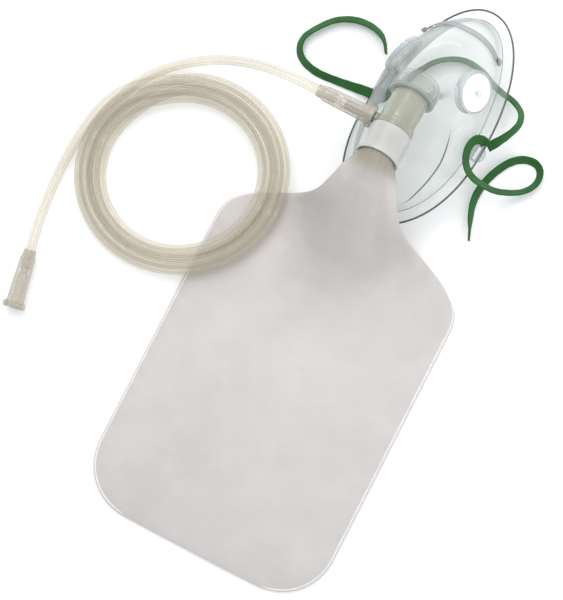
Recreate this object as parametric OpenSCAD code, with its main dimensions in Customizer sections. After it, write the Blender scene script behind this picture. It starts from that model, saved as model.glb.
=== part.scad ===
// High-concentration oxygen mask with a reservoir bag, laid out flat with its tubing coiled.
// Row frame in millimetres: +Z up from the table, +Y from the bag's bottom edge to the mask's
// nose end, +X to the right, origin under the middle of the mask and bag.

/* [Mask] */
// Width of the mask over its soft rim
mask_w = 81; // [78:1:92]
// Length of the rim from its widest place to the nose end
nose_l = 84; // [78:1:90]
// Length of the rim from its widest place to the chin end
chin_l = 60; // [52:1:62]
// Thickness of the soft shell
shell_t = 1.2; // [1:0.1:1.6]
// Angle by which the mask leans over on its left rim
mask_roll = 16; // [12:1:18]

/* [Connector] */
// Outer radius of the swivel tube, a 22 mm taper size
tube_r = 11; // [10.8:0.05:11.2]
// Radial clearance of the swivel and of the pull-off nipple
play = 0.05; // [0.03:0.01:0.08]
// Rise of the connector's axis above the table
port_tilt = 18; // [14:1:22]

/* [Bag] */
// Width of the bag
bag_w = 160; // [150:1:170]
// Thickness that stands for one layer of film
film_t = 0.8; // [0.6:0.1:1]
// Radius of the bag's bottom corners
bag_corner = 34; // [28:1:38]

/* [Tubing] */
// Outside diameter of the oxygen tubing
hose_d = 6; // [5:0.5:6.5]
// Radius of the coil at the middle of its turns
coil_r = 55.5; // [54:0.5:57]

/* [Hidden] */

// Rim of the mask
rim_half = mask_w / 2;
rim_power = 2 / 2.08;
flange_w = 7;
mask_yaw = 6;
strap_gap = 1.6;
mask_at = [10, 100, rim_half * sin(mask_roll) + shell_t / 2 + strap_gap];

// The connector's axis runs from the mask to the bag: its places are lengths along it from
// the mouth of the mask's port
port_at = [0, 113, 48.8];
port_dir = [0, -cos(port_tilt), sin(port_tilt)];
port_up = [0, sin(port_tilt), cos(port_tilt)];
sleeve_depth = 9;
sleeve_r = tube_r + 3.4;

// Shell grid
around = 48;
wall_steps = 10;

// Exhalation valves, by their angle round the mask and their share of the way up the wall
valve_angle = 25;
valve_height = 0.36;
valve_r = 12.4;
valve_hole = 12.6;
seat_depth = 2.5;
disc_r = 11.4;
disc_t = 0.8;
pin_r = 1;
pin_head_r = 1.9;
pin_head_t = 0.7;
valve_lift = 1.3;
ease = 0.05;

// Nose clip
clip_w = 4.2;
clip_t = 0.8;
clip_heights = [[50, 0.1], [60, 0.26], [70, 0.385], [80, 0.45], [90, 0.475], [100, 0.475],
    [110, 0.46], [120, 0.42], [134, 0.34]];
clip_gap = 0.5;
stud_r = 1.2;
stud_head_r = 2.1;

// Lengths along the connector's axis
collar_back = 11;
band_at = 22;
band_end = 27;
band_r = tube_r + 1.2;
bore_r = tube_r - 1.6;
spigot_r = tube_r - 0.6;
spigot_end = 43.5;
bag_collar_end = 46;
bag_collar_r = 13;
film_r = spigot_r + 0.1;
inlet_at = 8;
inlet_disc_r = 8;
inlet_lift = 2.5;

// Oxygen nipple and the funnel connectors
nipple_at = band_at + 1;
nipple_r = 3.1;
nipple_end = 32;
funnel_start = band_r + 1;
funnel_l = 37;
funnel_r = 4.9;
funnel_flange_r = 7.2;
funnel_bore = nipple_r + play;
funnel_bore_l = 22;
hose_socket_l = 12;

// Coil, tipped up where it lies on the bag
coil_at = [-107.5, 15, 0];
coil_in = 46;
coil_out = 65;
coil_h = 12;
coil_tip = 3.8;

// Strap
strap_w = 6.2;
strap_t = 0.9;
slot_x = 37.5;
slot_y = 7;

// Route of the tube from the near connector to the coil, and from the coil to the far connector
lead_route = [[-62, 91.3, 55.6], [-73, 91.3, 52.6], [-84, 91.2, 45.6], [-95, 90.6, 35.8], [-106, 89.2, 25],
    [-117, 87, 15.5], [-128, 82.5, 8.5], [-139, 76, 4.5], [-149, 67.5, 3.4], [-157, 57.5, 3.2],
    [-162.5, 47, 3.2], [-166, 37, 3.2]];
tail_route = [[-173.6, 22, 7.9], [-176.3, 4.5, 6], [-177, -12, 4.6], [-176.2, -29, 4.6],
    [-174.2, -44, 6], [-172, -56, 7]];
far_at = [-169.6, -67.6, 7.3];
far_dir = [0.19, -0.982, 0];

// Routes of the strap, each point with the angle of its face to the table
strap_left_route = [[-28.5, 110, 3.4, 4], [-33, 109.6, 4.2, 15], [-40, 108.8, 3.6, 35], [-52, 107.5, 3.6, 50],
    [-64, 107, 3.4, 50], [-74, 109.5, 3.3, 50], [-80, 115, 3.2, 50], [-81, 123, 3.2, 50],
    [-76, 132, 3.2, 48], [-68.5, 140.5, 3.2, 45], [-59, 145.6, 3.1, 42], [-49.5, 147, 3.2, 46],
    [-41.5, 145.6, 3.3, 55], [-35.8, 141.8, 3.5, 64], [-31.5, 135.5, 3.7, 76]];
strap_mid_route = [[-22.6, 110.5, 0.5, 0], [-20.5, 113.5, 0.6, 0], [-17.5, 118.5, 1.2, 12], [-14, 126, 2.2, 30],
    [-9, 135, 3.2, 48], [-3, 144, 3.4, 52], [5, 150, 3.4, 52], [14, 153, 3.4, 52], [25, 151.5, 3.6, 50],
    [34, 147.5, 4.5, 50], [43, 144.5, 7, 50], [51, 142.5, 10, 52], [58, 138, 13, 56],
    [60.5, 131, 16.5, 60], [58.5, 123, 19, 58], [54.5, 115.5, 20, 40], [50.5, 109.5, 20.6, 20]];
strap_right_route = [[49.5, 109, 27, 20], [47.5, 110.6, 30, 25], [43.5, 109, 32.5, 40], [41.6, 104, 33, 50],
    [42.5, 97.5, 32, 52], [46, 92, 30.8, 50], [51.5, 88.6, 28.8, 48], [58, 88, 23.5, 46], [65, 89, 14.5, 46],
    [72, 92, 8.5, 48], [79, 96.5, 4.5, 50], [83.5, 102, 3.3, 50], [85, 108, 3.2, 50],
    [83, 113.5, 3.2, 50], [78, 116, 3.2, 50], [71, 114.5, 3.2, 50], [65, 109.5, 3.2, 50],
    [60.5, 102, 3.2, 50], [57.5, 94, 3.2, 50], [56, 85.5, 3.2, 48], [56.5, 77.5, 3.2, 55],
    [59, 69.5, 3.4, 65], [62, 62.5, 3.6, 75], [64.5, 56.5, 3.7, 80]];

// Stations of the bag: y, half width, height of the layers' middle line over the table, spread
// of that hump across the bag, height of the front layer's crown and of the back layer's
bag_flat = 1 + film_t;
bag_stations = [[59, 17.5, 61.5, 70, 8.6, 7], [50, 22, 56.5, 60, 7.8, 5], [41, 28, 49, 46, 6, 3.5],
    [34, 45, 41, 38, 4.5, 2.5], [27, 62, 33.5, 34, 3.4, 2], [17, 75.5, 22.5, 31, 2.8, 1.5],
    [8, 79, 13.5, 30, 2.6, 1.2], [0, 79.2, 8, 30, 2.8, 1], [-12, 79.2, 3, 30, 2.5, 1],
    [-24, 79.2, 0.8, 30, 2.4, 1], [-38, 79.2, 0, 30, 2.4, 1], [-60, 79.2, 0, 30, 2.4, 1],
    [-95, 79.2, 0, 30, 2.4, 1], [-125, 79.2, 0, 30, 2.4, 1]];
bag_bottom = -184;
film_steps = 16;

function unit(v) = v / norm(v);
function swing(p, i) = unit(p[min(i + 1, len(p) - 1)] - p[max(i - 1, 0)]);
function flat3(p) = [p[0], p[1], p[2]];
function power(c, k) = sign(c) * pow(abs(c), k);
function bezier(a, b, c, d, t) =
    pow(1 - t, 3) * a + 3 * pow(1 - t, 2) * t * b + 3 * (1 - t) * t * t * c + pow(t, 3) * d;

// From the mask's own frame, with its rim plane at z = 0 and its nose along +y, to the row frame
function lean(p) = [p[0] * cos(mask_roll) - p[2] * sin(mask_roll), p[1],
    p[0] * sin(mask_roll) + p[2] * cos(mask_roll)];
function turn(p) = [p[0] * cos(mask_yaw) + p[1] * sin(mask_yaw),
    p[1] * cos(mask_yaw) - p[0] * sin(mask_yaw), p[2]];
function placed(p) = mask_at + turn(lean(p));

// How much of the nose end, the cheeks and the chin end there is at an angle round the rim
function noseward(a) = sin(a) > 0 ? pow(sin(a), 2) : 0;
function chinward(a) = sin(a) < 0 ? pow(sin(a), 2) : 0;
function mix(a, nose, cheek, chin) =
    nose * noseward(a) + cheek * pow(cos(a), 2) + chin * chinward(a);

function rim(a, inset, rise) = [(rim_half - inset) * power(cos(a), rim_power),
    ((sin(a) > 0 ? nose_l : chin_l) - inset) * power(sin(a), rim_power), mix(a, 5, 0, 1) + rise];
function port_ring(a, r, s) = port_at + port_dir * s + (cos(a) * [1, 0, 0] + sin(a) * port_up) * r;

// The outside of the wall, from the foot of the flange at t = 0 to the port's sleeve at t = 1
function wall(a, t) = let (
    foot = rim(a, flange_w, 1),
    inward = -unit([foot[0], foot[1], 0]),
    low = foot + [0, 0, mix(a, 28, 27, 32)] + inward * mix(a, 5, 4, 2),
    top = port_ring(a, sleeve_r, -sleeve_depth),
    out = cos(a) * [1, 0, 0] + sin(a) * port_up,
    high = top + out * mix(a, 3, 13, 9) - port_dir * mix(a, 30, 16, -2))
    bezier(placed(foot), placed(low), high, top, t);
function wall_normal(a, t) = unit(cross(wall(a + 1, t) - wall(a - 1, t), wall(a, t + 0.02) - wall(a, t - 0.02)));

// Sections skinned into one closed solid, either capped at its ends or joined end to start
function strip(n, i, k) = [for (j = [0:n - 1]) [i * n + j, i * n + (j + 1) % n, k * n + (j + 1) % n, k * n + j]];
module skin(rings) {
    n = len(rings[0]);
    last = len(rings) - 1;
    polyhedron(
        points = [for (r = rings) each r],
        faces = [each [for (i = [0:last - 1]) each strip(n, i, i + 1)],
            [for (j = [n - 1:-1:0]) j], [for (j = [0:n - 1]) last * n + j]],
        convexity = 8);
}
module skin_round(rings) {
    n = len(rings[0]);
    m = len(rings);
    polyhedron(
        points = [for (r = rings) each r],
        faces = [for (i = [0:m - 1]) each strip(n, (i + 1) % m, i)],
        convexity = 8);
}

// A flat or round section swept along a route
function across(t) = unit(cross(t, [0, 0, 1]));
function swept(route, shape) = [for (i = [0:len(route) - 1]) let (
    p = [for (q = route) flat3(q)], t = swing(p, i), s = across(t), u = cross(s, t))
    [for (q = shape(i)) p[i] + s * q[0] + u * q[1]]];
module hose(route) {
    skin(swept(route, function (i) [for (k = [0:7]) hose_d / 2 * [cos(k * 45 + 22.5), sin(k * 45 + 22.5)]]));
}
module ribbon(route) {
    skin(swept(route, function (i) let (c = cos(route[i][3]), s = sin(route[i][3]))
        [for (q = [[1, 1], [-1, 1], [-1, -1], [1, -1]])
            [c * q[0] * strap_w - s * q[1] * strap_t, s * q[0] * strap_w + c * q[1] * strap_t] / 2]));
}

// Moves what is drawn along +z to a place and direction
module aim(at, dir) {
    translate(at)
        rotate([0, acos(dir[2] / norm(dir)), atan2(dir[1], dir[0])])
            children();
}
module on_axis(s) {
    translate(port_at + port_dir * s)
        rotate([90 - port_tilt, 0, 0])
            children();
}
module ring(r_out, r_in, h) {
    rotate_extrude($fn = 64)
        translate([r_in, 0])
            square([r_out - r_in, h]);
}
module in_mask() {
    translate(mask_at)
        rotate([0, 0, -mask_yaw])
            rotate([0, -mask_roll, 0])
                children();
}

module shell_skin() {
    outer = [for (row = [0:2]) [for (k = [0:around - 1]) let (a = k * 360 / around)
            placed(rim(a, flange_w * row / 2, row / 2))],
        for (i = [1:wall_steps]) [for (k = [0:around - 1]) wall(k * 360 / around, i / wall_steps)],
        [for (k = [0:around - 1]) port_ring(k * 360 / around, sleeve_r, 0)]];
    rows = len(outer);
    inner = [for (i = [0:rows - 1]) [for (k = [0:around - 1]) let (
        along = outer[min(i + 1, rows - 1)][k] - outer[max(i - 1, 0)][k],
        round_it = outer[i][(k + 1) % around] - outer[i][(k + around - 1) % around])
        i < rows - 2 ? outer[i][k] - unit(cross(round_it, along)) * shell_t
            : port_ring(k * 360 / around, sleeve_r - shell_t, i == rows - 1 ? 0 : -sleeve_depth)]];
    skin_round([each outer, for (i = [rows - 1:-1:0]) inner[i]]);
}
module strap_ear(x) {
    translate([x, slot_y, -shell_t])
        cylinder(r = 5.5, h = shell_t + 0.4, $fn = 48);
}
module mask_shell() {
    color([0.86, 0.92, 0.93, 0.5])
        difference() {
            union() {
                shell_skin();
                in_mask() for (x = [-slot_x, slot_x]) strap_ear(x);
            }
            for (a = [valve_angle, 180 - valve_angle])
                aim(wall(a, valve_height) - wall_normal(a, valve_height) * 8, wall_normal(a, valve_height))
                    cylinder(r = valve_hole, h = 14, $fn = 64);
            in_mask() for (x = [-slot_x, slot_x])
                translate([x - 1.4, slot_y - 4.2, -6]) cube([2.8, 8.4, 12]);
        }
}
module port_collar() {
    color([0.82, 0.86, 0.86]) {
        on_axis(-collar_back) ring(tube_r + 2, tube_r + play, collar_back + 1.2);
        on_axis(0.1) ring(sleeve_r + 0.3, tube_r + 1, 1.1);
    }
}

function clip_spine() = let (from = clip_heights[0][0], to = clip_heights[len(clip_heights) - 1][0])
    [for (i = [0:18]) let (a = from + i * (to - from) / 18, t = lookup(a, clip_heights))
        [wall(a, t), wall_normal(a, t)]];
module nose_clip() {
    spine = clip_spine();
    last = len(spine) - 1;
    color([0.75, 0.78, 0.79])
        difference() {
            skin([for (i = [0:last]) let (
                n = spine[i][1],
                t = unit(spine[min(i + 1, last)][0] - spine[max(i - 1, 0)][0]),
                s = cross(t, n),
                p = spine[i][0] + n * (clip_gap + clip_t / 2) + (i == 0 ? -t * 3 : i == last ? t * 3 : t * 0))
                [for (q = [[1, -1], [1, 1], [-1, 1], [-1, -1]])
                    p + s * q[0] * clip_w / 2 + n * q[1] * clip_t / 2]]);
            for (e = [spine[0], spine[last]])
                aim(e[0] - e[1], e[1]) cylinder(r = stud_r + ease, h = 5, $fn = 32);
        }
}
module nose_clip_studs() {
    spine = clip_spine();
    color([0.8, 0.84, 0.85])
        for (e = [spine[0], spine[len(spine) - 1]])
            aim(e[0] + e[1] * 0.3, e[1]) {
                cylinder(r = stud_r, h = 1.8, $fn = 32);
                translate([0, 0, 1.4]) cylinder(r1 = stud_head_r, r2 = 1.4, h = 1.1, $fn = 32);
            }
}

// Exhalation valve: a barrel with a spoked seat and a headed pin, and the disc that lifts on it
module valve_seat(a) {
    aim(wall(a, valve_height), wall_normal(a, valve_height))
        color([0.9, 0.93, 0.93])
            union() {
                translate([0, 0, -seat_depth]) ring(valve_r, disc_r - 1.6, seat_depth + 0.3);
                for (k = [0:3])
                    rotate([0, 0, k * 90])
                        translate([0, -0.8, -1.2]) cube([disc_r - 1, 1.6, 1.4]);
                translate([0, 0, -1.2]) cylinder(r = 2.4, h = 1.5, $fn = 32);
                cylinder(r = pin_r, h = valve_lift + 1.4, $fn = 32);
                translate([0, 0, valve_lift + 1.3]) cylinder(r = pin_head_r, h = pin_head_t, $fn = 32);
            }
}
module valve_disc(a) {
    aim(wall(a, valve_height) + wall_normal(a, valve_height) * 0.35, wall_normal(a, valve_height))
        color("white") ring(disc_r, pin_r + 0.06, disc_t);
}
module right_valve_seat() { valve_seat(valve_angle); }
module right_valve_disc() { valve_disc(valve_angle); }
module left_valve_seat() { valve_seat(180 - valve_angle); }
module left_valve_disc() { valve_disc(180 - valve_angle); }

// Swivel tube, band with the oxygen nipple, and the spigot that the bag's neck fits over
module valve_housing() {
    color([0.72, 0.73, 0.64])
        difference() {
            union() {
                on_axis(-collar_back + 1) cylinder(r = tube_r, h = band_at + collar_back - 0.5, $fn = 96);
                on_axis(band_at) cylinder(r = band_r, h = band_end - band_at, $fn = 96);
                on_axis(band_end - 0.5) cylinder(r = spigot_r, h = spigot_end - band_end + 0.5, $fn = 96);
                translate(port_at + port_dir * nipple_at)
                    rotate([0, -90, 0]) {
                        cylinder(r = nipple_r, h = nipple_end - 1.4, $fn = 48);
                        translate([0, 0, nipple_end - 1.5]) cylinder(r1 = nipple_r, r2 = 2.2, h = 1.5, $fn = 48);
                        cylinder(r = nipple_r + 0.7, h = band_r + 0.8, $fn = 48);
                    }
            }
            on_axis(-collar_back) cylinder(r = bore_r, h = spigot_end + collar_back + 1, $fn = 96);
            translate(port_at + port_dir * nipple_at)
                rotate([0, -90, 0]) cylinder(r = 1.6, h = nipple_end + 1, $fn = 32);
        }
}
module inlet_valve_seat() {
    color([0.85, 0.85, 0.8])
        on_axis(inlet_at)
            union() {
                ring(bore_r - ease, inlet_disc_r - 1.2, 2);
                for (k = [0:2])
                    rotate([0, 0, k * 120 + 30]) translate([0, -0.8, 0]) cube([inlet_disc_r, 1.6, 1.6]);
                cylinder(r = 2.2, h = 2, $fn = 32);
                translate([0, 0, -inlet_lift - 1.2]) cylinder(r = pin_r, h = inlet_lift + 1.4, $fn = 32);
                translate([0, 0, -inlet_lift - 1.6]) cylinder(r = 1.7, h = 0.6, $fn = 32);
            }
}
module inlet_valve_disc() {
    color([0.95, 0.95, 0.93]) on_axis(inlet_at - ease - disc_t) ring(inlet_disc_r, pin_r + 0.06, disc_t);
}
module bag_collar() {
    color([0.93, 0.93, 0.92])
        on_axis(band_end + 0.1)
            difference() {
                union() {
                    cylinder(r = bag_collar_r, h = bag_collar_end - band_end, $fn = 96);
                    translate([0, 0, bag_collar_end - band_end - 1.5]) cylinder(r = bag_collar_r + 0.4, h = 1.5, $fn = 96);
                }
                translate([0, 0, -1]) cylinder(r = spigot_r + ease, h = 10, $fn = 96);
                translate([0, 0, 4]) cylinder(r = film_r + film_t + 0.2, h = 30, $fn = 96);
            }
}

// Sections of the bag: a round neck inside its collar, then a hump that falls to the table
function half_round(side, t, steps) = [for (k = [0:steps]) let (a = side * k * 180 / steps) [cos(a), sin(a)] * t];
function neck_ring(s, side) = let (
    arc = function (r) [for (q = half_round(side, r, film_steps)) port_at + port_dir * s + [1, 0, 0] * q[0] + port_up * q[1]],
    inside = arc(film_r))
    [each arc(film_r + film_t), for (k = [film_steps:-1:0]) inside[k]];
function bag_half(y) = y > bag_bottom + bag_corner ? bag_w / 2 - film_t
    : bag_w / 2 - film_t - bag_corner + sqrt(max(0, pow(bag_corner, 2) - pow(y - bag_bottom - bag_corner, 2)));
function bag_line(st, side, grow) = [for (k = [0:film_steps]) let (
    a = k * 180 / film_steps,
    x = (st[1] + grow) * cos(a),
    hump = st[2] * exp(-2 * pow(x / st[3], 2)),
    crown = side > 0 ? (st[4] + grow) * sin(a) : -(st[5] + grow) * min(1, sin(a) * (st[0] > 55 ? 1 : 3)))
    [x, st[0], max(film_t - grow, bag_flat + hump + crown)]];
function bag_ring(st, side) = let (inside = bag_line(st, side, 0))
    [each bag_line(st, side, film_t), for (k = [film_steps:-1:0]) inside[k]];
module bag_film(side) {
    corner = [for (k = [0:6]) let (y = bag_bottom + bag_corner * (1 - sin(k * 14)))
        [y, bag_half(y), 0, 30, 2.4 * cos(k * 13), 1]];
    rings = [neck_ring(band_end + 4.5, side), neck_ring(39, side), neck_ring(bag_collar_end - 1, side),
        for (st = [each bag_stations, each corner]) bag_ring(st, side)];
    if (side < 0) skin(rings);
    else skin([for (r = rings) [for (k = [len(r) - 1:-1:0]) r[k]]]);
}
module bag_front_film() { color([0.86, 0.84, 0.82]) bag_film(1); }
module bag_back_film() { color([0.8, 0.78, 0.76]) bag_film(-1); }

// Funnel connector drawn from its mouth along +z, with ribs and a notched flange
module funnel() {
    difference() {
        union() {
            cylinder(r1 = funnel_r + 0.4, r2 = funnel_r - 0.2, h = funnel_l - 5, $fn = 64);
            translate([0, 0, funnel_l - 5]) cylinder(r1 = funnel_r - 0.2, r2 = hose_d / 2 + 0.7, h = 5, $fn = 64);
            difference() {
                translate([0, 0, 0.5]) cylinder(r = funnel_flange_r, h = 3.4, $fn = 64);
                for (k = [0:3])
                    rotate([0, 0, k * 90 + 45]) translate([funnel_flange_r - 0.9, -1.5, 0]) cube([3, 3, 5]);
            }
            for (k = [0:7])
                rotate([0, 0, k * 45]) translate([funnel_r - 0.8, -0.45, 3]) cube([1.1, 0.9, funnel_l - 10]);
        }
        translate([0, 0, -1]) cylinder(r = funnel_bore, h = funnel_bore_l + 1, $fn = 64);
        cylinder(r = 2, h = funnel_l, $fn = 48);
        translate([0, 0, funnel_l - hose_socket_l]) cylinder(r = hose_d / 2, h = hose_socket_l + 1, $fn = 48);
    }
}
near_mouth = port_at + port_dir * nipple_at - [funnel_start, 0, 0];
near_end = near_mouth - [funnel_l, 0, 0];
module tube_connector_near() {
    color([0.85, 0.81, 0.76]) translate(near_mouth) rotate([0, -90, 0]) funnel();
}
module tube_connector_far() {
    color([0.85, 0.81, 0.76]) aim(far_at + far_dir * funnel_l, -far_dir) funnel();
}
module oxygen_tube_lead() {
    color([0.9, 0.88, 0.82])
        hose([near_end + [hose_socket_l - 0.5, 0, 0], near_end, each lead_route]);
}
module oxygen_tube_coil() {
    color([0.88, 0.86, 0.8])
        translate(coil_at + [0, 0, coil_out * sin(coil_tip)])
            rotate([0, -coil_tip, 0])
                rotate_extrude($fn = 96)
                    translate([coil_in, 0])
                        square([coil_out - coil_in, coil_h]);
}
module oxygen_tube_tail() {
    color([0.9, 0.88, 0.82])
        hose([each tail_route, far_at, far_at + far_dir * (hose_socket_l - 0.5)]);
}
module strap_left_end() { color([0.1, 0.42, 0.16]) ribbon(strap_left_route); }
module strap_behind_mask() { color([0.1, 0.42, 0.16]) ribbon(strap_mid_route); }
module strap_right_end() { color([0.1, 0.42, 0.16]) ribbon(strap_right_route); }

mask_shell();
port_collar();
nose_clip();
nose_clip_studs();
right_valve_seat();
right_valve_disc();
left_valve_seat();
left_valve_disc();
valve_housing();
inlet_valve_seat();
inlet_valve_disc();
bag_collar();
bag_front_film();
bag_back_film();
tube_connector_near();
tube_connector_far();
oxygen_tube_lead();
oxygen_tube_coil();
oxygen_tube_tail();
strap_left_end();
strap_behind_mask();
strap_right_end();
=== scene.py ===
"""High-concentration oxygen mask with a reservoir bag, laid out flat with its tubing coiled.

Lengths are in millimetres until mesh() turns them into metres. The row frame has +Z up from the
table, +Y from the bag's bottom edge to the mask's nose end and +X to the right.
"""
import bpy
import bmesh
import math
import numpy as np
from mathutils import Matrix, Vector, noise


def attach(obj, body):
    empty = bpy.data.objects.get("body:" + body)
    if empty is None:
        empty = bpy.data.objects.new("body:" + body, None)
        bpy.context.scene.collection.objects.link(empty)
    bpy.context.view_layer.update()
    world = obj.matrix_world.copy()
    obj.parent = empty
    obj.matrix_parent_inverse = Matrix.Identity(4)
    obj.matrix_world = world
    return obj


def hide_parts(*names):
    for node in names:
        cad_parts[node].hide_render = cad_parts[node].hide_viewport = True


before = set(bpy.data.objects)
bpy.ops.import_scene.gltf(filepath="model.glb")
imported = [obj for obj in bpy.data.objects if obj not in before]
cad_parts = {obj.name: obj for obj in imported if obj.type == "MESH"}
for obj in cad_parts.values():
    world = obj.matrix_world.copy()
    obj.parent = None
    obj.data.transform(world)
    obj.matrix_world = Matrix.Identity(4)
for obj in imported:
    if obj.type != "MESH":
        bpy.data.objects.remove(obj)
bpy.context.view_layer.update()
MM = 0.001


# ---------------------------------------------------------------- small helpers
def vec(*p):
    return np.array(p, float)


def unit(v):
    return v / np.linalg.norm(v)


def cosd(a):
    return math.cos(math.radians(a))


def sind(a):
    return math.sin(math.radians(a))


def smooth(t):
    t = min(1, max(0, t))
    return t * t * (3 - 2 * t)


def mesh(name, points, faces, material, shade=True):
    """A mesh object from points in millimetres."""
    data = bpy.data.meshes.new(name)
    data.from_pydata([tuple(float(c) * MM for c in p) for p in points], [], faces)
    data.update()
    obj = bpy.data.objects.new(name, data)
    bpy.context.scene.collection.objects.link(obj)
    data.materials.append(material)
    for f in data.polygons:
        f.use_smooth = shade
    return obj


def skin_faces(rings, n, around=True, joined=False):
    """Quads between sections of n points each."""
    faces = []
    for i in range(rings if joined else rings - 1):
        k = (i + 1) % rings
        for j in range(n if around else n - 1):
            m = (j + 1) % n
            faces.append((i * n + j, i * n + m, k * n + m, k * n + j))
    return faces


def skin(name, rings, material, around=True, joined=False, caps=False):
    """A surface through sections that all have the same number of points."""
    n = len(rings[0])
    faces = skin_faces(len(rings), n, around, joined)
    if caps:
        faces += [tuple(range(n))[::-1], tuple(range((len(rings) - 1) * n, len(rings) * n))]
    return mesh(name, [p for r in rings for p in r], faces, material)


def apply_modifiers(obj):
    """Keeps what the modifiers make as the object's own mesh."""
    graph = bpy.context.evaluated_depsgraph_get()
    made = bpy.data.meshes.new_from_object(obj.evaluated_get(graph), depsgraph=graph)
    obj.modifiers.clear()
    obj.data = made
    for f in made.polygons:
        f.use_smooth = True
    return obj


def face_out(obj):
    """Turns every face's normal outward on a closed mesh."""
    work = bmesh.new()
    work.from_mesh(obj.data)
    bmesh.ops.recalc_face_normals(work, faces=work.faces)
    work.to_mesh(obj.data)
    work.free()
    return obj


def subdivide(obj, levels):
    obj.modifiers.new("subdivide", "SUBSURF").levels = levels
    return apply_modifiers(obj)


def thicken(obj, thickness, offset):
    m = obj.modifiers.new("wall", "SOLIDIFY")
    m.thickness = thickness * MM
    m.offset = offset
    return apply_modifiers(obj)


def cut(obj, *tools):
    """Cuts the tools out of obj and removes them."""
    for tool in tools:
        m = obj.modifiers.new("cut", "BOOLEAN")
        m.operation, m.object, m.solver = "DIFFERENCE", tool, "EXACT"
        apply_modifiers(obj)
        bpy.data.objects.remove(tool)
    return obj


def rounded(profile, radius, steps=4, closed=False):
    """A profile with its corners rounded, as far as its edges leave room."""
    out = []
    n = len(profile)
    for i, p in enumerate(profile):
        if not closed and i in (0, n - 1):
            out.append(p)
            continue
        a, b = vec(*profile[i - 1]) - vec(*p), vec(*profile[(i + 1) % n]) - vec(*p)
        r = min(radius, 0.45 * np.linalg.norm(a), 0.45 * np.linalg.norm(b))
        start, end = vec(*p) + unit(a) * r, vec(*p) + unit(b) * r
        for k in range(steps + 1):
            t = k / steps
            out.append(tuple((1 - t) ** 2 * start + 2 * t * (1 - t) * vec(*p) + t * t * end))
    return out


def turned(name, at, axis, profile, material, sides=96, shape=None, closed=True):
    """A profile of (along, radius) turned round an axis. shape(angle, along) scales the radius."""
    axis = unit(axis)
    side = unit(np.cross(axis, vec(0, 0, 1) if abs(axis[2]) < 0.9 else vec(1, 0, 0)))
    up = np.cross(side, axis)
    rings = [[at + axis * s + (side * cosd(a) + up * sind(a)) * r * (shape(a, s) if shape else 1)
              for a in (k * 360 / sides for k in range(sides))] for s, r in profile]
    return face_out(skin(name, rings, material, joined=closed, caps=not closed))


def tube(name, path, radius, material, sides=16, star=0, half=False):
    """A tube along points. star makes its section a soft star of five points.

    half leaves only the upper half of its wall."""
    path = [vec(*p) for p in path]
    turns = np.linspace(0, 180, sides + 1) if half else np.arange(sides) * 360 / sides
    rings = []
    up = None
    for i, p in enumerate(path):
        t = unit(path[min(i + 1, len(path) - 1)] - path[max(i - 1, 0)])
        if up is None:
            up = vec(0, 0, 1) if abs(t[2]) < 0.8 else vec(0, 1, 0)
        up = unit(up - t * np.dot(up, t))
        side = np.cross(t, up)
        r = radius(i) if callable(radius) else radius
        rings.append([p + (side * cosd(a) + up * sind(a)) * r * (1 + star * cosd(5 * a)) for a in turns])
    if half:
        return skin(name, rings, material, around=False)
    return face_out(skin(name, rings, material, caps=True))


def catmull(points, per=8):
    """A smooth line through points, which may carry more numbers than a place."""
    p = [np.array(q, float) for q in points]
    p = [2 * p[0] - p[1]] + p + [2 * p[-1] - p[-2]]
    out = []
    for i in range(1, len(p) - 2):
        for k in range(per):
            t = k / per
            out.append(0.5 * (2 * p[i] + (p[i + 1] - p[i - 1]) * t
                              + (2 * p[i - 1] - 5 * p[i] + 4 * p[i + 1] - p[i + 2]) * t * t
                              + (3 * p[i] - 3 * p[i + 1] + p[i + 2] - p[i - 1]) * t ** 3))
    out.append(p[-2])
    return out


def spaced(points, step):
    """The same line with points an even step apart, along its first three numbers."""
    p = np.array(points)
    run = np.concatenate([[0], np.cumsum(np.linalg.norm(np.diff(p[:, :3], axis=0), axis=1))])
    at = np.linspace(0, run[-1], max(2, round(run[-1] / step) + 1))
    return np.stack([np.interp(at, run, p[:, c]) for c in range(p.shape[1])], axis=1)


def line_length(points):
    return float(np.linalg.norm(np.diff(np.array(points)[:, :3], axis=0), axis=1).sum())


# ---------------------------------------------------------------- camera, floor and light
# Width of the table that the picture shows, and the picture's height over its width
VIEW_WIDTH, PICTURE_SHAPE = 338, 600 / 563
# The point in the middle of the picture, and how far the camera stands from it
LOOK_AT = vec(-19.5, -25.7, 4)
FAR = 1500
# The camera's tilt from the vertical in degrees, and the way it leans
TILT, LEANS = 8, (0.951, -0.309)
# The picture's direction to the right, on the table
ACROSS = (0.8926, 0.4509)


def camera():
    """Looks almost straight down, with the layout turned as it lies in the picture."""
    back = unit(vec(LEANS[0] * sind(TILT), LEANS[1] * sind(TILT), cosd(TILT)))
    right = vec(*ACROSS, 0)
    right = unit(right - back * np.dot(right, back))
    up = np.cross(back, right)
    data = bpy.data.cameras.new("camera")
    obj = bpy.data.objects.new("camera", data)
    bpy.context.scene.collection.objects.link(obj)
    place = LOOK_AT + back * FAR
    obj.matrix_world = Matrix(((right[0], up[0], back[0], place[0] * MM),
                               (right[1], up[1], back[1], place[1] * MM),
                               (right[2], up[2], back[2], place[2] * MM), (0, 0, 0, 1)))
    data.sensor_width = 36
    data.lens = data.sensor_width * FAR / (VIEW_WIDTH * PICTURE_SHAPE)
    data.clip_start, data.clip_end = 0.01, 20
    bpy.context.scene.camera = obj


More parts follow.
